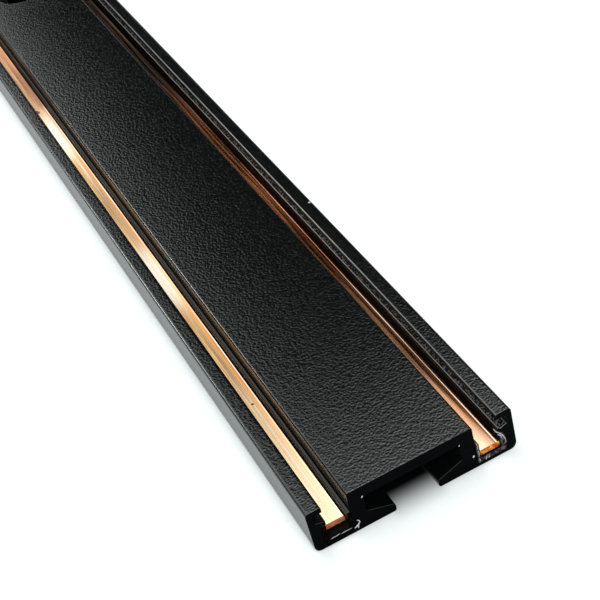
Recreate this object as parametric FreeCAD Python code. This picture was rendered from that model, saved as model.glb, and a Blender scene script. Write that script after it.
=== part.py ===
"""Slim surface-mounted magnetic lighting track: one stock length lying on its back.

X runs across the track, Y along it with the near cut end on the negative side, and Z up from
the floor. The origin is the middle of the underside. Sizes are in millimetres.
"""
import FreeCAD
import Part
import math
import os

Vector = FreeCAD.Vector

# Stock length and the way up through the section
length = 500.0
floor_thickness = 0.5        # skin of the profile under each insulator
insulator_base = 0.6         # plastic under the copper
inner_arm_height = 2.9       # insulator arm beside the plateau, from the pocket floor
outer_arm_height = 2.8       # insulator arm under the ledge, from the pocket floor
ledge_thickness = 0.75       # rib of the outer wall that holds the insulator down, at its rim
groove_height = 1.35         # clip groove above the ledge, at its mouth
lip_thickness = 0.75         # rim of the outer wall above the groove
web_thickness = 1.6          # plateau above the rear slot

# The way across the section
plateau_width = 15.9
channel_width = 3.1          # gap between plateau and outer wall, at the top
wall_top_width = 1.95
side_wall = 1.8              # between the rear slot and each channel
groove_wall = 0.7            # outer wall behind the clip groove
ledge_reach = 0.05           # how far the ledge stands out past the lip
rim_width = 0.22             # small rim along the tip of the ledge
rim_height = 0.25
groove_rise = 0.35           # climb of the groove's floor from the rim to the outer wall

# Copper conductors and the plastic that carries them
copper_width = 2.6
copper_thickness = 0.8
inner_arm = 0.4
outer_arm = 0.6
slide_fit = 0.05             # insulator in its pocket, on each side
strip_fit = 0.05             # copper between the insulator's arms, on each side
left_setback = 1.3           # left copper lies this far inside the near cut
right_setback = 0.3          # right copper lies this far inside the near cut
far_setback = 0.3            # both coppers at the far cut

# Slot along the underside
slot_mouth = 5.5
slot_lip_tip = 1.0
slot_lip_root = 2.2

# Countersunk screw holes through the plateau
hole_inset = 150.0           # from each cut end
hole_diameter = 6.4
countersink_diameter = 9.0
countersink_angle = 90.0

# Rounded edges
plateau_round = 0.25
wall_outer_round = 0.4
lip_round = 0.2
base_round = 0.9
groove_round = 0.3
slot_lip_round = 0.3
slot_corner_round = 0.4
plastic_round = 0.15
small_round = 0.1

# Worked out from the above
plateau_half = plateau_width / 2
lip_face = plateau_half + channel_width
outer_face = lip_face + wall_top_width
groove_back = outer_face - groove_wall
ledge_tip = lip_face - ledge_reach
slot_side = plateau_half - side_wall
copper_inner = plateau_half + slide_fit + inner_arm + strip_fit
copper_outer = copper_inner + copper_width
pocket_back = copper_outer + strip_fit + outer_arm + slide_fit
arm_round = outer_arm - plastic_round
pocket_round = arm_round + slide_fit
copper_bed = floor_thickness + insulator_base
pocket_top = floor_thickness + outer_arm_height + slide_fit
ledge_top = pocket_top + ledge_thickness
groove_floor = ledge_top - rim_height
lip_underside = ledge_top + groove_height
track_top = lip_underside + lip_thickness
slot_roof = track_top - web_thickness
near_end = -length / 2
far_end = length / 2
hole_places = (near_end + hole_inset, far_end - hole_inset)


def outline(corners, y):
    """A closed outline across the track at y, from (x, z, radius) corners that are each rounded."""
    points = [Vector(x, y, z) for x, z, radius in corners]
    rounds = []
    for i, (x, z, radius) in enumerate(corners):
        corner = points[i]
        before = (points[i - 1] - corner).normalize()
        after = (points[(i + 1) % len(points)] - corner).normalize()
        half_angle = before.getAngle(after) / 2
        cut_back = radius / math.tan(half_angle)
        inward = (before + after).normalize()
        middle = corner + inward * (radius / math.sin(half_angle) - radius)
        rounds.append((corner + before * cut_back, middle, corner + after * cut_back))
    edges = []
    for this, following in zip(rounds, rounds[1:] + rounds[:1]):
        start, middle, end = this
        edges.append(Part.Arc(start, middle, end).toShape())
        edges.append(Part.LineSegment(end, following[0]).toShape())
    return Part.Wire(edges)


def extrusion(corners, start, end):
    """A straight length of one section between two places along the track."""
    return Part.Face(outline(corners, start)).extrude(Vector(0, end - start, 0))


def screw_hole(y):
    """The drill and countersink for one screw, down through the plateau into the slot."""
    drill_radius = hole_diameter / 2
    head_radius = countersink_diameter / 2
    depth = (head_radius - drill_radius) / math.tan(math.radians(countersink_angle / 2))
    drill_depth = (track_top + slot_roof) / 2 - slot_lip_root
    up = Vector(0, 0, 1)
    drill = Part.makeCylinder(drill_radius, drill_depth, Vector(0, y, track_top - drill_depth), up)
    seat = Part.makeCone(drill_radius, head_radius, depth, Vector(0, y, track_top - depth), up)
    return drill.fuse(seat)


def track_profile():
    """The black extrusion: plateau, two contact channels, outer walls and the rear slot."""
    right_half = [
        (plateau_half, track_top, plateau_round),
        (plateau_half, floor_thickness, small_round),
        (pocket_back, floor_thickness, small_round),
        (pocket_back, pocket_top, pocket_round),
        (ledge_tip, pocket_top, small_round),
        (ledge_tip, ledge_top, small_round),
        (ledge_tip + rim_width, ledge_top, small_round),
        (ledge_tip + rim_width, groove_floor, small_round),
        (groove_back, groove_floor + groove_rise, groove_round),
        (groove_back, lip_underside, groove_round),
        (lip_face, lip_underside, small_round),
        (lip_face, track_top, lip_round),
        (outer_face, track_top, wall_outer_round),
        (outer_face, 0, base_round),
        (slot_mouth / 2, 0, slot_lip_round),
        (slot_mouth / 2, slot_lip_tip, slot_lip_round),
        (slot_side, slot_lip_root, slot_corner_round),
        (slot_side, slot_roof, slot_corner_round),
    ]
    left_half = [(-x, z, radius) for x, z, radius in reversed(right_half)]
    profile = extrusion(right_half + left_half, near_end, far_end)
    for y in hole_places:
        profile = profile.cut(screw_hole(y))
    return profile


def insulator(side):
    """The plastic carrier that slides into a channel's pocket; side is 1 on the right, -1 on the left."""
    corners = [
        (plateau_half + slide_fit, floor_thickness, plastic_round),
        (pocket_back - slide_fit, floor_thickness, plastic_round),
        (pocket_back - slide_fit, floor_thickness + outer_arm_height, arm_round),
        (copper_outer + strip_fit, floor_thickness + outer_arm_height, small_round / 2),
        (copper_outer + strip_fit, copper_bed, small_round / 2),
        (copper_inner - strip_fit, copper_bed, small_round / 2),
        (copper_inner - strip_fit, floor_thickness + inner_arm_height, plastic_round),
        (plateau_half + slide_fit, floor_thickness + inner_arm_height, plastic_round),
    ]
    return extrusion([(side * x, z, radius) for x, z, radius in corners], near_end, far_end)


def copper_strip(side, setback):
    """The flat conductor that lies in an insulator, drawn back from the near cut end."""
    copper_top = copper_bed + copper_thickness
    corners = [
        (copper_inner, copper_bed, small_round),
        (copper_outer, copper_bed, small_round),
        (copper_outer, copper_top, small_round),
        (copper_inner, copper_top, small_round),
    ]
    section = [(side * x, z, radius) for x, z, radius in corners]
    return extrusion(section, near_end + setback, far_end - far_setback)


pieces = {
    "track_profile": track_profile(),
    "insulator_left": insulator(-1),
    "insulator_right": insulator(1),
    "copper_strip_left": copper_strip(-1, left_setback),
    "copper_strip_right": copper_strip(1, right_setback),
}

os.makedirs("parts", exist_ok=True)
for name, shape in pieces.items():
    shape.exportStep("parts/" + name + ".step")
    print(name, "valid", shape.isValid(), "solids", len(shape.Solids), "mm3", round(shape.Volume, 1))
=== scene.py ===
"""Looks of a slim black magnetic lighting track that lies on its back on a white floor.

Metres, in the frame of the part: X across the track, Y along it with the near cut end on the
negative side, Z up.
"""

import math

import bpy
from mathutils import Matrix, Vector


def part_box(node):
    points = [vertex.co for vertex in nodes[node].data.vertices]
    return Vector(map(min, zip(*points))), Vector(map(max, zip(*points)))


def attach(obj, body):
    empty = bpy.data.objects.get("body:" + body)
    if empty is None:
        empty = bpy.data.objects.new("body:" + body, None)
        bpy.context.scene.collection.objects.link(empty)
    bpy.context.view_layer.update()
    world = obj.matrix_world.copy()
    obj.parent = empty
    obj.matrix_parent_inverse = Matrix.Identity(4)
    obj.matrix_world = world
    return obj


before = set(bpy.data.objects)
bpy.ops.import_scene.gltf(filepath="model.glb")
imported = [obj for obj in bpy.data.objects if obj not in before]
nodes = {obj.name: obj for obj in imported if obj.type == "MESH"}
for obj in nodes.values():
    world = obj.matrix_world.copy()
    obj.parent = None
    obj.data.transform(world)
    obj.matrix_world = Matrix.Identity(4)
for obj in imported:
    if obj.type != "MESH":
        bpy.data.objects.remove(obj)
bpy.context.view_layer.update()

mm = 0.001
track_low, track_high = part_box("track_profile")
near_cut = track_low.y
far_cut = track_high.y
lip_face = 11.05 * mm       # inner side of each outer wall, from the middle
track_top = 6.2 * mm
copper_top = 1.9 * mm

# The photographed view
camera_place = Vector((-35.64, -352.67, 118.83)) * mm
camera_forward = Vector((0.2112, 0.7513, -0.6252))
camera_up = Vector((0.4307, 0.5027, 0.7496))
lens_mm = 85.62
sensor_mm = 36.0


# Shader nodes
def put(tree, kind, options=None, **sockets):
    """Adds a shader node. A socket gets a value, or a link where another node's output is given."""
    node = tree.nodes.new("ShaderNode" + kind)
    for option, value in (options or {}).items():
        setattr(node, option, value)
    for socket, value in sockets.items():
        fill(tree, node.inputs[socket.replace("_", " ")], value)
    return node


def fill(tree, socket, value):
    """Links an output to a socket, or sets the socket's own value."""
    if isinstance(value, bpy.types.NodeSocket):
        tree.links.new(value, socket)
    else:
        socket.default_value = value


def calc(tree, operation, first, second=0.0, clamp=False):
    """One step of arithmetic on two values."""
    node = tree.nodes.new("ShaderNodeMath")
    node.operation = operation
    node.use_clamp = clamp
    fill(tree, node.inputs[0], first)
    fill(tree, node.inputs[1], second)
    return node.outputs[0]


def product(tree, first, *others):
    """Values multiplied together."""
    result = first
    for other in others:
        result = calc(tree, "MULTIPLY", result, other)
    return result


def total(tree, first, *others):
    """Values added together."""
    result = first
    for other in others:
        result = calc(tree, "ADD", result, other)
    return result


def opposite(tree, mask):
    """1 where the mask is 0, and 0 where it is 1."""
    return calc(tree, "SUBTRACT", 1.0, mask)


def ramp(tree, value, low, high, out_low=0.0, out_high=1.0):
    """A value carried smoothly from one range to another and held at the ends."""
    node = put(tree, "MapRange", {"interpolation_type": "SMOOTHSTEP"}, Value=value,
               From_Min=low, From_Max=high, To_Min=out_low, To_Max=out_high)
    return node.outputs["Result"]


def blend_colour(tree, mask, first, second, blend="MIX"):
    """The first colour where the mask is 0, and where it is 1 the second, or their product."""
    node = put(tree, "Mix", {"data_type": "RGBA", "blend_type": blend},
               Factor=mask, A=first, B=second)
    return node.outputs["Result"]


def blend_value(tree, mask, first, second):
    """The first value where the mask is 0 and the second where it is 1."""
    node = put(tree, "Mix", Factor=mask, A=first, B=second)
    return node.outputs["Result"]


def true_normal(tree):
    """The direction that the bare surface faces, as X, Y and Z."""
    return put(tree, "SeparateXYZ", Vector=put(tree, "NewGeometry").outputs["True Normal"])


def new_group(name, inputs, outputs):
    """An empty shader node group with its sockets, and its two end nodes."""
    group = bpy.data.node_groups.new(name, "ShaderNodeTree")
    for socket, kind in inputs.items():
        group.interface.new_socket(socket, in_out="INPUT", socket_type="NodeSocket" + kind)
    for socket, kind in outputs.items():
        group.interface.new_socket(socket, in_out="OUTPUT", socket_type="NodeSocket" + kind)
    return group, group.nodes.new("NodeGroupInput"), group.nodes.new("NodeGroupOutput")


def use_group(tree, group, **sockets):
    """Places a shader node group in a material with its own values."""
    return put(tree, "Group", {"node_tree": group}, **sockets)


# Effects that several finishes share
pebble_scale = 0.8                          # pebbles of the grain against its wrinkles
pebble_share = 0.35
wrinkle_crests = (0.25, 0.75)
faces_along = (0.6, 0.9)                    # share of the normal along the track
saw_slant = 0.35                            # in radians
saw_line_scale = (400.0, 400.0, 9000.0)
broad_streaks = (0.35, 0.65)
fine_streaks = (0.3, 0.7)
fine_streak_scale = 3.5                     # fine streaks against broad ones
spot_core = 0.75                            # share of a small mark that is full


def leather_grain():
    """Fine wrinkled grain of a powder coat: its height."""
    group, given, result = new_group(
        "leather grain",
        {"Vector": "Vector", "Wrinkle Size": "Float"},
        {"Height": "Float"},
    )
    place = given.outputs["Vector"]
    scale = calc(group, "DIVIDE", 1.0, given.outputs["Wrinkle Size"])
    wrinkles = put(group, "TexNoise", Vector=place, Scale=scale, Detail=0.6)
    pebbles = put(group, "TexVoronoi", {"feature": "SMOOTH_F1"}, Vector=place,
                  Scale=product(group, scale, pebble_scale), Smoothness=0.5)
    crest = ramp(group, wrinkles.outputs["Fac"], *wrinkle_crests)
    dome = calc(group, "SUBTRACT", 1.0, pebbles.outputs["Distance"], clamp=True)
    fill(group, result.inputs["Height"], blend_value(group, pebble_share, crest, dome))
    return group


def cut_ends():
    """Mask of the faces that the saw left, which look along the track, and the saw's fine lines."""
    group, given, result = new_group(
        "cut ends",
        {"Vector": "Vector"},
        {"Mask": "Float", "Saw Lines": "Float"},
    )
    facing = calc(group, "ABSOLUTE", true_normal(group).outputs["Y"])
    lines = put(group, "Mapping", Vector=given.outputs["Vector"], Rotation=(0.0, saw_slant, 0.0),
                Scale=saw_line_scale)
    scratches = put(group, "TexNoise", Vector=lines.outputs["Vector"], Scale=1.0, Detail=3.0)
    fill(group, result.inputs["Mask"], ramp(group, facing, *faces_along))
    fill(group, result.inputs["Saw Lines"], scratches.outputs["Fac"])
    return group


def drawn_streaks():
    """Streaks that drawing through a die leaves along a strip, broad and fine."""
    group, given, result = new_group(
        "drawn streaks",
        {"Vector": "Vector", "Width": "Float", "Length": "Float"},
        {"Broad": "Float", "Fine": "Float"},
    )
    across = calc(group, "DIVIDE", 1.0, given.outputs["Width"])
    along = calc(group, "DIVIDE", 1.0, given.outputs["Length"])
    stretch = put(group, "CombineXYZ", X=across, Y=along, Z=across)
    placed = put(group, "VectorMath", {"operation": "MULTIPLY"})
    fill(group, placed.inputs[0], given.outputs["Vector"])
    fill(group, placed.inputs[1], stretch.outputs["Vector"])
    broad = put(group, "TexNoise", Vector=placed.outputs["Vector"], Scale=1.0, Detail=1.0)
    fine = put(group, "TexNoise", Vector=placed.outputs["Vector"], Scale=fine_streak_scale,
               Detail=3.0)
    fill(group, result.inputs["Broad"], ramp(group, broad.outputs["Fac"], *broad_streaks))
    fill(group, result.inputs["Fine"], ramp(group, fine.outputs["Fac"], *fine_streaks))
    return group


grain_group = leather_grain()
cut_group = cut_ends()
streak_group = drawn_streaks()


# Materials
def empty_material(name):
    """A material with no nodes yet, and its node tree."""
    material = bpy.data.materials.new(name)
    material.use_nodes = True
    material.node_tree.nodes.clear()
    return material, material.node_tree


def new_material(name):
    """A material with its Principled shader and Object coordinates."""
    material, tree = empty_material(name)
    shader = put(tree, "BsdfPrincipled")
    put(tree, "OutputMaterial", Surface=shader.outputs["BSDF"])
    place = put(tree, "TexCoord").outputs["Object"]
    return material, tree, shader, place


def surface(tree, shader, colour, rough, relief, depth, strength=1.0):
    """Gives a shader its colour, its roughness and the relief of its surface."""
    bump = put(tree, "Bump", Height=relief, Strength=strength, Distance=depth)
    fill(tree, shader.inputs["Base Color"], colour)
    fill(tree, shader.inputs["Roughness"], rough)
    fill(tree, shader.inputs["Normal"], bump.outputs["Normal"])


def near_spot(tree, place, spot, radius, raggedness):
    """Mask of a small ragged mark round one spot of a surface."""
    away = put(tree, "VectorMath", {"operation": "DISTANCE"})
    fill(tree, away.inputs[0], place)
    fill(tree, away.inputs[1], spot)
    ragged = put(tree, "TexNoise", Vector=place, Scale=1 / radius, Detail=2.0)
    shift = product(tree, calc(tree, "SUBTRACT", ragged.outputs["Fac"], 0.5), raggedness * radius)
    return ramp(tree, total(tree, away.outputs["Value"], shift), radius, spot_core * radius)


# Black coat: its places, each a fade from the first value to the second
channel_inner = (7.8 * mm, 7.9 * mm)        # across, at the plateau's side
channel_outer = (12.7 * mm, 12.4 * mm)      # across, at the back of the clip groove
below_edges = (5.95 * mm, 5.75 * mm)        # up, under the rounded top edges
ledge_down = (4.8 * mm, 4.5 * mm)           # up, from the ledge downwards
ledge_rim = (11.18 * mm, 11.11 * mm)        # across, onto the small rim of the ledge
lip_up = (6.05 * mm, 6.10 * mm)             # up, onto the wall's top
lip_start = (lip_face - 0.5 * mm, lip_face)
lip_stop = (lip_face + 0.14 * mm, lip_face + 0.09 * mm)
right_half = (-1 * mm, 1 * mm)
cut_edge_start = (far_cut - 0.16 * mm, far_cut - 0.06 * mm)
left_shoulder = (-lip_face - 0.42 * mm, -lip_face - 0.08 * mm)
faces_up = (0.5, 0.95)                      # share of the normal that looks up
lies_flat = (0.93, 0.995)                   # the same, for the flat tops alone
stands_upright = (0.9, 0.99)                # share of the normal across the track

# Black coat: its colours, sizes and roughness
coat_pits = (0.0012, 0.0015, 0.0014, 1)
coat_crests = (0.0050, 0.0060, 0.0056, 1)
coat_sheen = (0.90, 1.0, 0.96, 1)
clean_ledge = (0.002, 0.002, 0.002, 1)
dust_specks = (0.15, 0.154, 0.15, 1)
# Painted highlight lines: on the rim of the right ledge and along the inner edge of the right lip
painted_rim_highlight = (0.18, 0.184, 0.18, 1)
painted_lip_highlight = (0.14, 0.144, 0.14, 1)
# Bare metal at the chip; along the cut edges, bare metal with a painted highlight in place of a bevel's
bare_aluminium_and_edge_highlight = (0.48, 0.50, 0.51, 1)
sawn_coat = (0.0008, 0.0010, 0.0012, 1)
wrinkle_size = 0.30 * mm
speck_size = 0.27 * mm
speck_cover = (0.52, 0.60)
chip_size = 0.24 * mm
chip_place = Vector((12.62 * mm, near_cut + 50.6 * mm, track_top))
chip_raggedness = 1.2
edge_wear_and_highlight_share = 0.12
ledge_edge_wear_and_highlight_share = 0.6
coat_specular = 0.5
coat_rough = {"edges": 0.22, "tops": 0.12, "upright": 0.32, "channels": 0.25, "cut": 0.75}
edge_grain = 0.03                           # grain left on all but the flat tops
wall_rise = 2.1                             # lean of the outer walls' tops, in depths of grain
shoulder_drop = -1.9                        # along the left wall's inner edge
grain_depth = 0.0185 * mm


def black_coat():
    """Black grained coat of the extrusion, dusty on the right ledge, with painted highlights on the
    ledge's rim, along the right lip's edge and along the bare cut edges.
    """
    material, tree, shader, place = new_material("black grained coat")
    grain = use_group(tree, grain_group, Vector=place, Wrinkle_Size=wrinkle_size).outputs["Height"]
    cut = use_group(tree, cut_group, Vector=place)
    sawn = cut.outputs["Mask"]
    normal = true_normal(tree)
    spot = put(tree, "SeparateXYZ", Vector=place)
    height = spot.outputs["Z"]
    from_axis = calc(tree, "ABSOLUTE", spot.outputs["X"])
    from_middle = calc(tree, "ABSOLUTE", spot.outputs["Y"])

    # Masks of the places
    facing_up = ramp(tree, normal.outputs["Z"], *faces_up)
    flat_top = ramp(tree, normal.outputs["Z"], *lies_flat)
    upright = ramp(tree, calc(tree, "ABSOLUTE", normal.outputs["X"]), *stands_upright)
    on_right = ramp(tree, spot.outputs["X"], *right_half)
    in_channel = product(tree, ramp(tree, from_axis, *channel_outer),
                         ramp(tree, from_axis, *channel_inner))
    channel_side = product(tree, ramp(tree, height, *below_edges), opposite(tree, facing_up),
                           in_channel)
    on_ledge = product(tree, facing_up, ramp(tree, height, *ledge_down), in_channel, on_right)
    on_rim = ramp(tree, from_axis, *ledge_rim)
    on_lip = product(tree, ramp(tree, height, *lip_up), on_right,
                     ramp(tree, from_axis, *lip_start), ramp(tree, from_axis, *lip_stop))
    cut_edge_wear_and_highlight = product(tree, ramp(tree, from_middle, *cut_edge_start), facing_up)
    chip = near_spot(tree, place, chip_place, chip_size, chip_raggedness)

    # Colour
    coat = blend_colour(tree, grain, coat_pits, coat_crests)
    specks = put(tree, "TexNoise", Vector=place, Scale=1 / speck_size, Detail=1.0)
    ledge_dust_and_rim_highlight = blend_colour(tree, ramp(tree, specks.outputs["Fac"], *speck_cover),
                        clean_ledge, dust_specks)
    # A painted highlight line on the ledge's rim, over the dust
    ledge_dust_and_rim_highlight = blend_colour(tree, on_rim, ledge_dust_and_rim_highlight, painted_rim_highlight)
    coat = blend_colour(tree, on_ledge, coat, ledge_dust_and_rim_highlight)
    # A painted highlight along the right lip's inner edge
    coat = blend_colour(tree, on_lip, coat, painted_lip_highlight)
    # Along the cut edges, bare metal with a painted highlight, strongest on the ledge
    edge_share = blend_value(tree, on_ledge, edge_wear_and_highlight_share, ledge_edge_wear_and_highlight_share)
    bare = calc(tree, "MAXIMUM", product(tree, cut_edge_wear_and_highlight, edge_share), chip)
    coat = blend_colour(tree, bare, coat, bare_aluminium_and_edge_highlight)
    colour = blend_colour(tree, sawn, coat, sawn_coat)

    # Roughness
    rough = blend_value(tree, flat_top, coat_rough["edges"], coat_rough["tops"])
    rough = blend_value(tree, upright, rough, coat_rough["upright"])
    rough = blend_value(tree, channel_side, rough, coat_rough["channels"])
    rough = blend_value(tree, sawn, rough, coat_rough["cut"])

    # Relief
    level = product(tree, grain, blend_value(tree, flat_top, edge_grain, 1.0))
    wall_lean = put(tree, "MapRange", Value=from_axis, From_Min=lip_face, From_Max=track_high.x,
                    To_Max=wall_rise)
    shoulder = ramp(tree, spot.outputs["X"], *left_shoulder, 0.0, shoulder_drop)
    level = total(tree, level, wall_lean.outputs["Result"], shoulder)
    relief = blend_value(tree, sawn, level, cut.outputs["Saw Lines"])

    surface(tree, shader, colour, rough, relief, grain_depth)
    shader.inputs["Specular IOR Level"].default_value = coat_specular
    shader.inputs["Specular Tint"].default_value = coat_sheen
    fill(tree, shader.inputs["Metallic"], sawn)
    return material


# Drawn copper: colours
broad_streak = (0.55, 0.28, 0.07, 1)
fine_streak = (0.60, 0.27, 0.10, 1)
# Painted shade in the troughs of a strip's twist and a painted highlight on its crests
painted_trough_shade = (0.10, 0.05, 0.02, 1)
painted_crest_highlight = (1.00, 0.95, 0.80, 1)
deep_red = (1.00, 0.66, 0.46, 1)
painted_end_highlight_colour = (1.00, 0.92, 0.71, 1)
worn_brown = (0.16, 0.07, 0.03, 1)
stain_brown = (0.12, 0.04, 0.01, 1)

# Drawn copper: places along a strip from the near cut, each a fade from the first to the second
trough_start = (8 * mm, 26 * mm)
crest_start = (20 * mm, 45 * mm)
end_lean_fade = (26 * mm, 2 * mm)
# Fade of the painted shade over a far stretch of a strip
far_shade_fade = 35 * mm
worn_start_fade = 3 * mm
worn_end_fade = 6 * mm

# Drawn copper: other values
crest_side = (1.0, 0.62)                    # a crest gleams most on the strip's left, across from 0 to 1
crest_height = (0.1, 1.0)
band_waver = 0.05                           # how far broad streaks shift the bands
end_highlight_skew = 0.4                          # the painted highlight at the near end reaches further in on the left
end_highlight_full = 0.2                          # share of the highlighted length at full strength
worn_share = 0.65
stain_raggedness = 1.0
smear_size = 0.7 * mm
smear_cover = (0.38, 0.62)
copper_rough = (0.08, 0.16)
sawn_copper_rough = 0.75
fine_streak_height = 0.02
copper_relief_depth = 0.04 * mm
copper_stains = (
    (Vector((-9.46 * mm, near_cut + 24.0 * mm, copper_top)), 0.21 * mm),
    (Vector((-10.65 * mm, near_cut + 112.6 * mm, copper_top)), 1.05 * mm),
)

# The two strips: shares across run from 0 on the left to 1, and lengths start at the near cut
left_copper = {
    # Bands of polish, with painted highlight lines at 0.60 to 0.65 and at 0.905 and painted shade from
    # 0.80 to 0.88
    "bands": (
        (0.00, (1.00, 0.70, 0.36)),
        (0.57, (1.00, 0.73, 0.38)),
        (0.60, (1.00, 0.93, 0.74)),
        (0.65, (1.00, 0.93, 0.74)),
        (0.69, (0.80, 0.46, 0.17)),
        (0.80, (0.46, 0.24, 0.12)),
        (0.88, (0.42, 0.21, 0.11)),
        (0.905, (1.00, 0.86, 0.68)),
    ),
    "ridge": {"start": 0.70, "end": 1.15, "rise": 1.75},
    "streaks": {"broad": 0.75, "fine": 0.65, "width": 0.45 * mm, "length": 32 * mm},
    "wave": {"mean": 0.9, "swing": 0.9, "start": -3 * mm, "length": 47 * mm},
    "end_lean": 1.0,
    "trough_tone": 0.10,
    "crest_gleam": 0.8,
    "reddening": {"start": 100 * mm, "full": 130 * mm, "share": 0.15},
    "painted_far_shade": {"start": 96 * mm, "end": 190 * mm, "share": 0.50, "colour": (0.26, 0.08, 0.03, 1)},
    "painted_end_highlight": {"length": 46 * mm, "share": 0.50},
    "worn": ({"start": 112 * mm, "end": 133 * mm, "edge": (0.50, 0.74)},),
    # The left cut end's colours are painted lighter than the right one's, painted light against the
    # shade of its recess
    "sawn": ((0.95, 0.24, 0.07, 1), (1.00, 0.56, 0.28, 1)),
}
right_copper = {
    # Bands of polish, with painted shade from 0.64 to 0.82 and at 0.95 and a painted highlight line at
    # 0.88
    "bands": (
        (0.00, (0.96, 0.70, 0.50)),
        (0.12, (0.98, 0.56, 0.35)),
        (0.50, (0.95, 0.51, 0.30)),
        (0.64, (0.70, 0.32, 0.15)),
        (0.82, (0.42, 0.19, 0.08)),
        (0.88, (0.88, 0.60, 0.47)),
        (0.95, (0.50, 0.26, 0.18)),
    ),
    "ridge": {"start": 0.84, "end": 0.93, "rise": 0.4},
    "streaks": {"broad": 0.0, "fine": 0.35, "width": 0.40 * mm, "length": 70 * mm},
    "wave": {"mean": 1.9, "swing": 1.3, "start": 20 * mm, "length": 34 * mm},
    "end_lean": 5.0,
    "trough_tone": 0.45,
    "crest_gleam": 0.0,
    "reddening": {"start": 28 * mm, "full": 50 * mm, "share": 0.85},
    "painted_far_shade": {"start": 76 * mm, "end": 200 * mm, "share": 0.96, "colour": (0.06, 0.03, 0.012, 1)},
    "painted_end_highlight": {"length": 10 * mm, "share": 0.25},
    "worn": (),
    "sawn": ((0.74, 0.14, 0.015, 1), (1.00, 0.60, 0.16, 1)),
}


def colour_bands(tree, value, bands):
    """Colours laid across a value from 0 to 1, each given as its place and its colour."""
    node = put(tree, "ValToRGB", Fac=value)
    stops = node.color_ramp.elements
    while len(stops) < len(bands):
        stops.new(1.0)
    for stop, (where, colour) in zip(stops, bands):
        stop.position = where
        stop.color = (*colour, 1)
    return node.outputs["Color"]


def twist_wave(tree, along, wave):
    """The slight twist of a strip, which comes and goes along it between -1 and 1."""
    past_start = calc(tree, "SUBTRACT", along, wave["start"])
    return calc(tree, "SINE", product(tree, past_start, 2 * math.pi / wave["length"]))


def streaked_copper(tree, wavered, streaks, finish):
    """Bands of polish, painted highlight lines and painted shade, with the streaks of drawing over them.
    """
    broad = product(tree, streaks.outputs["Broad"], finish["streaks"]["broad"])
    fine = product(tree, streaks.outputs["Fine"], finish["streaks"]["fine"])
    shade = colour_bands(tree, wavered, finish["bands"])
    shade = blend_colour(tree, broad, shade, broad_streak)
    return blend_colour(tree, fine, shade, fine_streak)


def twist_shade_and_highlight(tree, shade, along, wavered, twist, finish):
    """Paints shade into the troughs of a strip's twist and a highlight onto its crests, past the near
    end.
    """
    toned = product(tree, ramp(tree, twist, 1.0, -1.0, 0.0, finish["trough_tone"]),
                    ramp(tree, along, *trough_start))
    shade = blend_colour(tree, toned, shade, painted_trough_shade)
    gleaming = product(tree, ramp(tree, twist, *crest_height, 0.0, finish["crest_gleam"]),
                       ramp(tree, wavered, *crest_side), ramp(tree, along, *crest_start))
    return blend_colour(tree, gleaming, shade, painted_crest_highlight)


def aged_copper_with_painted_light(tree, shade, place, along, across, wavered, finish):
    """Adds what age and handling left, redder stretches, wear and stains, with painted shade over a far
    stretch and a painted highlight at the near end.
    """
    red = finish["reddening"]
    reddened = ramp(tree, along, red["start"], red["full"], 0.0, red["share"])
    shade = blend_colour(tree, reddened, shade, deep_red, blend="MULTIPLY")
    # Painted shade over a far stretch of the strip
    painted_far_shade = finish["painted_far_shade"]
    far_shaded = product(tree, ramp(tree, along, painted_far_shade["start"], painted_far_shade["start"] + far_shade_fade),
                        ramp(tree, along, painted_far_shade["end"], painted_far_shade["end"] - far_shade_fade),
                        painted_far_shade["share"])
    shade = blend_colour(tree, far_shaded, shade, painted_far_shade["colour"])
    # A painted highlight at the near end of the strip
    length = finish["painted_end_highlight"]["length"]
    skewed = total(tree, along, product(tree, across, end_highlight_skew * length))
    end_highlighted = ramp(tree, skewed, length, end_highlight_full * length, 0.0, finish["painted_end_highlight"]["share"])
    shade = blend_colour(tree, end_highlighted, shade, painted_end_highlight_colour)
    for worn in finish["worn"]:
        patch = product(tree, ramp(tree, along, worn["start"], worn["start"] + worn_start_fade),
                        ramp(tree, along, worn["end"], worn["end"] - worn_end_fade),
                        ramp(tree, wavered, *worn["edge"], 0.0, worn_share))
        shade = blend_colour(tree, patch, shade, worn_brown)
    for stain_place, stain_size in copper_stains:
        stain = near_spot(tree, place, stain_place, stain_size, stain_raggedness)
        shade = blend_colour(tree, stain, shade, stain_brown)
    return shade


def copper_relief(tree, along, across, wavered, twist, streaks, finish):
    """Height of a strip's face: its lean, a low ridge along it and its fine streaks."""
    lean = total(tree, product(tree, twist, finish["wave"]["swing"]), finish["wave"]["mean"],
                 ramp(tree, along, *end_lean_fade, 0.0, finish["end_lean"]))
    ridge = finish["ridge"]
    return total(tree, product(tree, across, lean),
                 ramp(tree, wavered, ridge["start"], ridge["end"], 0.0, ridge["rise"]),
                 product(tree, streaks.outputs["Fine"], fine_streak_height))


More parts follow.
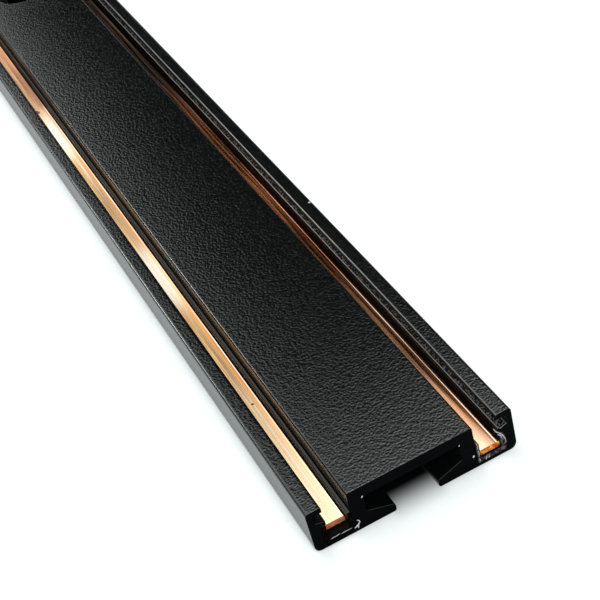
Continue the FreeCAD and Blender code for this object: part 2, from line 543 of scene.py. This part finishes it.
def drawn_copper(name, strip, finish):
    """Bare copper strip: bands, streaks and a low ridge along it, with a slight twist, and painted
    highlights and shade along it.
    """
    material, tree, shader, place = new_material(name)
    low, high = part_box(strip)
    streaks = use_group(tree, streak_group, Vector=place, Width=finish["streaks"]["width"],
                        Length=finish["streaks"]["length"])
    sawn = use_group(tree, cut_group, Vector=place).outputs["Mask"]
    spot = put(tree, "SeparateXYZ", Vector=place)
    span = put(tree, "MapRange", Value=spot.outputs["X"], From_Min=low.x, From_Max=high.x)
    across = span.outputs["Result"]
    along = calc(tree, "SUBTRACT", spot.outputs["Y"], near_cut)
    waver = product(tree, calc(tree, "SUBTRACT", streaks.outputs["Broad"], 0.5), band_waver)
    wavered = total(tree, across, waver)
    twist = twist_wave(tree, along, finish["wave"])
    shade = streaked_copper(tree, wavered, streaks, finish)
    shade = twist_shade_and_highlight(tree, shade, along, wavered, twist, finish)
    shade = aged_copper_with_painted_light(tree, shade, place, along, across, wavered, finish)
    smears = put(tree, "TexNoise", Vector=place, Scale=1 / smear_size, Detail=2.0)
    torn = blend_colour(tree, ramp(tree, smears.outputs["Fac"], *smear_cover), *finish["sawn"])
    colour = blend_colour(tree, sawn, shade, torn)
    rough = ramp(tree, streaks.outputs["Fine"], 0, 1, *copper_rough)
    rough = blend_value(tree, sawn, rough, sawn_copper_rough)
    relief = copper_relief(tree, along, across, wavered, twist, streaks, finish)
    surface(tree, shader, colour, rough, relief, copper_relief_depth)
    shader.inputs["Metallic"].default_value = 1.0
    return material


# Insulator plastic
plastic_streak_width = 0.3 * mm
plastic_streak_length = 25 * mm
plastic_tear_size = 0.35 * mm
plastic_tear_cover = (0.42, 0.64)
plastic_tear_height = 12.0                  # against the height of the streaks
plastic_relief_depth = 0.006 * mm
arm_faces_up = (0.6, 0.95)                  # share of the normal that looks up
arm_tops = (2.5 * mm, 3.0 * mm)             # up, a fade onto the upper faces of the arms
plastic_dark = (0.003, 0.003, 0.003, 1)
plastic_light = (0.006, 0.006, 0.006, 1)
plastic_dust = (0.075, 0.076, 0.070, 1)
plastic_specular = 0.01
plastic_rough = {"clean": 0.25, "dusty": 0.6, "cut": 0.8}


def insulator_plastic(name, sawn_dark, sawn_light):
    """Black extruded plastic, dusty on its upper faces, mottled where the saw tore its cut ends."""
    material, tree, shader, place = new_material(name)
    sawn = use_group(tree, cut_group, Vector=place).outputs["Mask"]
    streaks = use_group(tree, streak_group, Vector=place, Width=plastic_streak_width,
                        Length=plastic_streak_length).outputs["Fine"]
    torn = put(tree, "TexNoise", Vector=place, Scale=1 / plastic_tear_size, Detail=4.0).outputs["Fac"]
    on_arms = ramp(tree, put(tree, "SeparateXYZ", Vector=place).outputs["Z"], *arm_tops)
    dusty = product(tree, ramp(tree, true_normal(tree).outputs["Z"], *arm_faces_up), on_arms)
    skin = blend_colour(tree, streaks, plastic_dark, plastic_light)
    skin = blend_colour(tree, dusty, skin, plastic_dust)
    mottled = blend_colour(tree, ramp(tree, torn, *plastic_tear_cover), sawn_dark, sawn_light)
    colour = blend_colour(tree, sawn, skin, mottled)
    rough = blend_value(tree, dusty, plastic_rough["clean"], plastic_rough["dusty"])
    rough = blend_value(tree, sawn, rough, plastic_rough["cut"])
    relief = blend_value(tree, sawn, streaks, product(tree, torn, plastic_tear_height))
    surface(tree, shader, colour, rough, relief, plastic_relief_depth)
    shader.inputs["Specular IOR Level"].default_value = plastic_specular
    return material


# Torn slivers on the near cut
sliver_tear_size = 0.12 * mm
sliver_tear_cover = (0.3, 0.7)
sliver_rough = (0.45, 0.7)
sliver_relief = 0.6
sliver_relief_depth = 0.02 * mm
sliver_proud = 0.03 * mm                    # middle of a sliver in front of the cut
sliver_sides = 6
tip_girth = 0.35                            # share of the girth that a sliver keeps at its tips
smooth_angle = math.radians(50)


def torn_sliver(name, colour, pale):
    """Torn plastic or bare metal that the saw raised, in patches of two tints."""
    material, tree, shader, place = new_material(name)
    torn = put(tree, "TexNoise", Vector=place, Scale=1 / sliver_tear_size, Detail=3.0).outputs["Fac"]
    tint = blend_colour(tree, ramp(tree, torn, *sliver_tear_cover), colour, pale)
    rough = ramp(tree, torn, *sliver_tear_cover, *sliver_rough)
    surface(tree, shader, tint, rough, torn, sliver_relief_depth, strength=sliver_relief)
    return material


def sliver(name, path, thickness, material):
    """A thin torn sliver along a path on the near cut, in millimetres, thickest in its middle."""
    points = [Vector((x * mm, near_cut - sliver_proud, z * mm)) for x, z in path]
    steps = len(points) - 1
    girths = []
    for i in range(steps + 1):
        bulge = math.sin(math.pi * (i + 0.5) / (steps + 1))
        girths.append(tip_girth + (1 - tip_girth) * bulge)
    bpy.ops.object.select_all(action="DESELECT")
    bpy.ops.mesh.primitive_circle_add(vertices=sliver_sides, radius=thickness / 2 * girths[0] * mm,
                                      fill_type="NGON", location=points[0])
    piece = bpy.context.object
    piece.name = name
    piece.rotation_euler = (points[1] - points[0]).to_track_quat("Z", "Y").to_euler()
    bpy.ops.object.transform_apply(location=True, rotation=True, scale=True)
    bpy.ops.object.mode_set(mode="EDIT")
    bpy.ops.mesh.select_all(action="SELECT")
    for i in range(steps):
        step = points[i + 1] - points[i]
        bpy.ops.mesh.extrude_region_move(TRANSFORM_OT_translate={"value": step})
        swell = girths[i + 1] / girths[i]
        bpy.ops.transform.resize(value=(swell, swell, swell), center_override=points[i + 1])
    bpy.ops.mesh.select_all(action="SELECT")
    bpy.ops.mesh.normals_make_consistent(inside=False)
    bpy.ops.object.mode_set(mode="OBJECT")
    bpy.ops.object.shade_smooth_by_angle(angle=smooth_angle)
    piece.data.materials.append(material)
    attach(piece, "root")


def slivers(name, paths, material):
    """A numbered set of slivers, each given as its thickness and its path, in millimetres."""
    for number, (thickness, path) in enumerate(paths, start=1):
        sliver("%s_%d" % (name, number), path, thickness, material)


def dress(node, material):
    """Gives a node of the part its finish."""
    nodes[node].material_slots[0].material = material


# The five nodes of the part
dress("track_profile", black_coat())
dress("copper_strip_left", drawn_copper("left drawn copper", "copper_strip_left", left_copper))
dress("copper_strip_right", drawn_copper("right drawn copper", "copper_strip_right", right_copper))
# The left insulator's cut end is painted nearly black, painted shade of its recess; the right one keeps
# its torn grey
dress("insulator_left", insulator_plastic(
    "insulator plastic", sawn_dark=(0.001, 0.001, 0.001, 1), sawn_light=(0.004, 0.004, 0.004, 1)))
dress("insulator_right", insulator_plastic(
    "insulator plastic, sawn grey", sawn_dark=(0.02, 0.02, 0.021, 1), sawn_light=(0.17, 0.165, 0.17, 1)))

# The slivers, as places across and up
white_plastic = torn_sliver("torn white plastic", (0.42, 0.41, 0.42, 1), (0.85, 0.85, 0.85, 1))
bare_metal = torn_sliver("torn bare metal", (0.75, 0.75, 0.76, 1), (0.98, 0.98, 0.98, 1))
slivers("left_edge_sliver", (
    (0.065, ((-10.98, 0.93), (-10.6, 1.0), (-10.2, 0.98), (-9.82, 1.05))),
    (0.065, ((-9.66, 0.90), (-9.2, 0.97), (-8.75, 0.94), (-8.3, 0.96))),
), white_plastic)
slivers("left_fork_sliver", (
    (0.15, ((-8.02, 0.68), (-7.85, 0.76), (-7.64, 0.88), (-7.42, 1.05), (-7.25, 1.3))),
    (0.15, ((-7.62, 0.45), (-7.58, 0.65), (-7.52, 0.92))),
    (0.15, ((-7.25, 1.22), (-7.32, 1.48), (-7.52, 1.66))),
), bare_metal)
slivers("right_curl_sliver", (
    (0.16, ((10.5, 4.36), (10.62, 4.0), (10.8, 3.66), (11.14, 3.3), (11.5, 2.72), (11.68, 2.12),
            (11.72, 1.5))),
    (0.16, ((10.9, 3.2), (11.2, 2.9), (11.32, 2.5))),
), white_plastic)
slivers("right_smear_sliver", (
    (0.10, ((8.1, 3.6), (8.2, 3.1), (8.13, 2.65))),
    (0.10, ((8.16, 2.3), (8.22, 1.85), (8.14, 1.5))),
    (0.10, ((8.12, 1.2), (8.2, 0.9), (8.14, 0.62))),
    (0.10, ((8.95, 0.5), (9.0, 0.72), (9.12, 1.0))),
    (0.10, ((9.3, 0.56), (9.36, 0.72), (9.5, 0.86))),
), white_plastic)
slivers("metal_speck", (
    (0.22, ((7.45, 1.78), (7.5, 1.88), (7.56, 2.0))),
    (0.15, ((-6.32, 4.58), (-6.26, 4.66), (-6.18, 4.72))),
    (0.10, ((6.0, 4.5), (6.06, 4.58), (6.13, 4.62))),
), bare_metal)

# Studio values
floor_size = 12.0
shadow_reach = 7 * mm
shadow_samples = 16
open_share = (0.3, 0.62)                    # open sky over the sheet, from full shadow to none
slot_mouth = (4.5 * mm, 2.5 * mm)           # across, a fade into the mouth of the rear slot
under_track = (far_cut + 2.2 * mm, far_cut - 3.2 * mm)
glow_spread = (0.5, 2.0)                    # from the middle of the sheet
glow_levels = (0.68, 1.0)
sheet_glow = (0.95, 1, 1, 1)
sheet_white = (0.38, 0.4, 0.41, 1)
slot_shade = (0.004, 0.004, 0.004, 1)
fill_level = 0.45
lit_place = Vector((0.0, near_cut, 0.0))
lamp_distance = 1.5
lamp_size = 0.9
flag_distance = 9.0
low_flag_distance = 8.9
strip_distance = 8.0
panel_height = 0.6
camera_clip = 10 * mm                       # nearest distance that is drawn


def background_rays(tree):
    """1 for the rays that show the background: seen directly, mirrored or through glass."""
    path = put(tree, "LightPath")
    seen = calc(tree, "MAXIMUM", path.outputs["Is Camera Ray"], path.outputs["Is Glossy Ray"])
    return calc(tree, "MAXIMUM", seen, path.outputs["Is Transmission Ray"])


def white_sheet():
    """White paper that glows where it is seen, but for the shadow by the track and in its slot."""
    material, tree = empty_material("white sheet")
    open_sky = put(tree, "AmbientOcclusion", {"samples": shadow_samples}, Distance=shadow_reach)
    place = put(tree, "TexCoord").outputs["Object"]
    spot = put(tree, "SeparateXYZ", Vector=place)
    away = put(tree, "VectorMath", {"operation": "LENGTH"})
    fill(tree, away.inputs[0], place)
    beside = ramp(tree, open_sky.outputs["AO"], *open_share)
    in_slot = ramp(tree, calc(tree, "ABSOLUTE", spot.outputs["X"]), *slot_mouth)
    under = ramp(tree, calc(tree, "ABSOLUTE", spot.outputs["Y"]), *under_track)
    lit = blend_value(tree, in_slot, beside, opposite(tree, under))
    glow = product(tree, lit, ramp(tree, away.outputs["Value"], *glow_spread, *glow_levels),
                   background_rays(tree))
    sheet = blend_colour(tree, product(tree, in_slot, under), sheet_white, slot_shade)
    paper = put(tree, "BsdfDiffuse", Color=sheet)
    light = put(tree, "Emission", Color=sheet_glow, Strength=glow)
    both = put(tree, "AddShader")
    fill(tree, both.inputs[0], paper.outputs[0])
    fill(tree, both.inputs[1], light.outputs[0])
    put(tree, "OutputMaterial", Surface=both.outputs[0])
    return material


def white_floor():
    """A wide white sheet that keeps the soft shadow under and beside the track."""
    bpy.ops.object.select_all(action="DESELECT")
    bpy.ops.mesh.primitive_plane_add(size=floor_size)
    floor = bpy.context.object
    floor.name = "floor"
    floor.data.materials.append(white_sheet())


def white_surround():
    """White all round where it is seen or mirrored, with an even fill light of its own level."""
    world = bpy.data.worlds.new("white surround")
    bpy.context.scene.world = world
    world.use_nodes = True
    tree = world.node_tree
    background = tree.nodes["Background"]
    background.inputs["Color"].default_value = (1, 1, 1, 1)
    strength = blend_value(tree, background_rays(tree), fill_level, 1.0)
    fill(tree, background.inputs["Strength"], strength)


def direction(bearing, height):
    """Unit vector to a bearing from +Y towards +X and a height above the floor, in degrees."""
    turn = math.radians(bearing)
    rise = math.radians(height)
    flat = math.cos(rise)
    return Vector((flat * math.sin(turn), flat * math.cos(turn), math.sin(rise)))


def studio_card(name, width, height, level):
    """A plane that only reflections show, lit evenly at its level."""
    bpy.ops.object.select_all(action="DESELECT")
    bpy.ops.mesh.primitive_plane_add(size=1.0)
    card = bpy.context.object
    card.name = name
    card.scale = (width, height, 1.0)
    card.visible_camera = False
    card.visible_diffuse = False
    card.visible_shadow = False
    material, tree = empty_material(name)
    light = put(tree, "Emission", Color=(1, 1, 1, 1), Strength=level)
    put(tree, "OutputMaterial", Surface=light.outputs[0])
    card.data.materials.append(material)
    return card


def ceiling_panel(name, across, along, level, height=panel_height):
    """A level card over the track, between two places across it and two along it."""
    card = studio_card(name, across[1] - across[0], along[1] - along[0], level)
    card.location = (sum(across) / 2, sum(along) / 2, height)


def standing_card(name, bearings, heights, distance, level):
    """A card that faces the near end, between two bearings and two heights in degrees."""
    toward = direction(sum(bearings) / 2, sum(heights) / 2)
    width = 2 * distance * math.tan(math.radians((bearings[1] - bearings[0]) / 2))
    width *= math.cos(math.radians(sum(heights) / 2))
    height = 2 * distance * math.tan(math.radians((heights[1] - heights[0]) / 2))
    card = studio_card(name, width, height, level)
    card.rotation_euler = (-toward).to_track_quat("Z", "Y").to_euler()
    card.location = lit_place + toward * distance


def soft_lamp(name, bearing, height, level):
    """A soft lamp that looks at the near end and isn't seen in reflections."""
    toward = direction(bearing, height)
    data = bpy.data.lights.new(name, "AREA")
    data.shape = "SQUARE"
    data.size = lamp_size
    data.energy = level * (math.pi * lamp_distance) ** 2
    lamp = bpy.data.objects.new(name, data)
    bpy.context.scene.collection.objects.link(lamp)
    lamp.rotation_euler = toward.to_track_quat("Z", "Y").to_euler()
    lamp.location = lit_place + toward * lamp_distance
    lamp.visible_glossy = False
    lamp.visible_camera = False


def photographed_view():
    """The camera that the photograph's edges gave."""
    camera = bpy.data.objects.new("camera", bpy.data.cameras.new("camera"))
    bpy.context.scene.collection.objects.link(camera)
    camera.data.sensor_width = sensor_mm
    camera.data.lens = lens_mm
    camera.data.clip_start = camera_clip
    right = camera_forward.cross(camera_up)
    turn = Matrix((right, camera_up, -camera_forward)).transposed()
    camera.matrix_world = Matrix.Translation(camera_place) @ turn.to_4x4()
    bpy.context.scene.camera = camera


# Floor, light, cards and camera
white_floor()
white_surround()
soft_lamp("key light", bearing=-10, height=66, level=0.6)
soft_lamp("front fill", bearing=200, height=35, level=0.4)
standing_card("left black flag", bearings=(-40, 20), heights=(3, 62),
              distance=flag_distance, level=0.005)
standing_card("right black flag", bearings=(20, 80), heights=(3, 62),
              distance=flag_distance, level=0.005)
standing_card("low black flag", bearings=(-54, -39), heights=(2, 17),
              distance=low_flag_distance, level=0.03)
standing_card("strip light", bearings=(-30.5, -24.5), heights=(22, 32),
              distance=strip_distance, level=36.0)
ceiling_panel("dark ceiling", across=(-0.80, -0.18), along=(-1.0, 1.6), level=0.08, height=1.2)
ceiling_panel("low card", across=(-0.038, -0.021), along=(-0.22, 0.12), level=2.0, height=0.05)
ceiling_panel("side panel", across=(-0.125, 0.07), along=(0.24, 2.4), level=1.75)
ceiling_panel("side panel edge", across=(0.07, 0.14), along=(0.24, 0.80), level=0.95)
ceiling_panel("far side panel edge", across=(0.07, 0.14), along=(0.80, 2.4), level=1.4)
ceiling_panel("overhead panel edge", across=(0.14, 0.45), along=(0.24, 0.35), level=0.9)
ceiling_panel("overhead panel", across=(-0.125, 0.45), along=(-0.35, 0.24), level=3.2)
photographed_view()
bpy.context.scene.view_settings.view_transform = "Standard"
